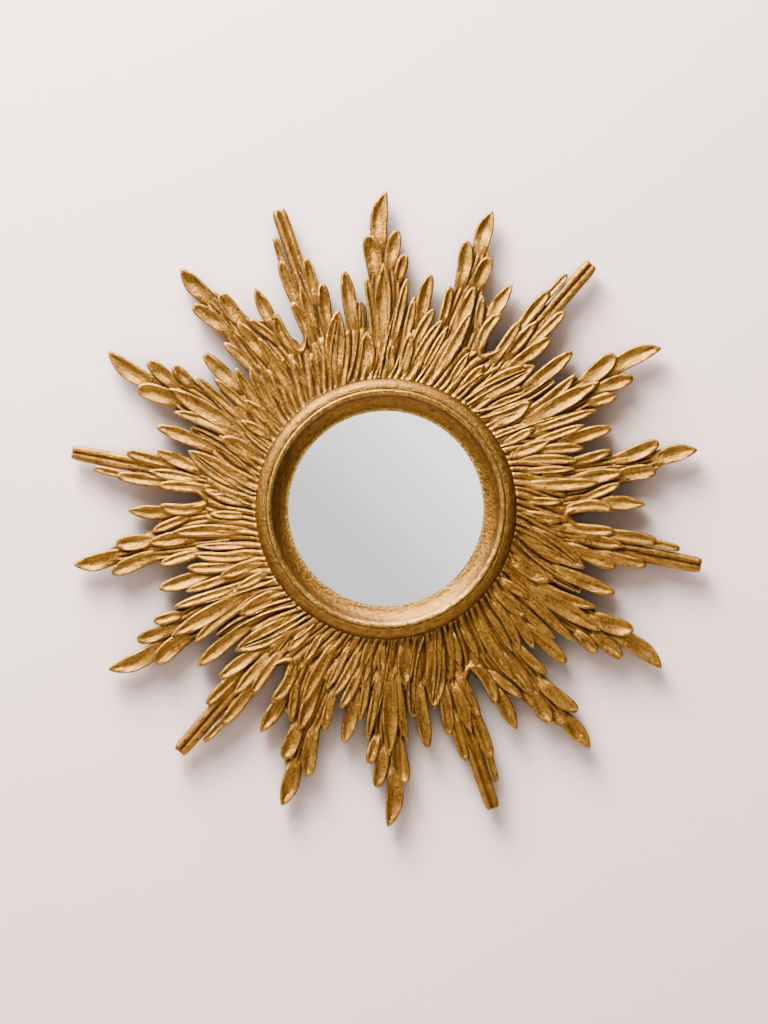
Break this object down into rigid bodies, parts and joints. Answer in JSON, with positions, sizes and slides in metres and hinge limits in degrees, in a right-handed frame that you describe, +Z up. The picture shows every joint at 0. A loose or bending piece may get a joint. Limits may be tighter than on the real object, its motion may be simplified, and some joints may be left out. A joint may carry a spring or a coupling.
{
  "type": "wall mirror",
  "caption": "Round wall mirror in a turned gilded ring, set in a carved giltwood sunburst of reed, flame and leaf rays; hangs flat on a wall",
  "frame": {"origin": "The middle of the backing board's flat back, where the mirror rests against the wall.", "axes": "+Y points into the wall, the front faces -Y, +Z is up and +X is to the right for a person facing the mirror."},
  "size_m": [0.6321, 0.0396, 0.6365],
  "materials": {
    "worn_gilding": "water-gilded wood, rubbed bright on the rims, brown patina in the hollows, fine dark specks",
    "ring_gilding": "gilded turned wood, satin, darker and mottled in the cove",
    "silvered_glass": "flat silvered glass, clean",
    "aged_pine": "plain aged pine, unfinished"
  },
  "bodies": {
    "root": {"sunburst": "worn_gilding", "ring_moulding": "ring_gilding", "mirror_glass": "silvered_glass", "backing_board": "aged_pine"}
  },
  "joints": []
}
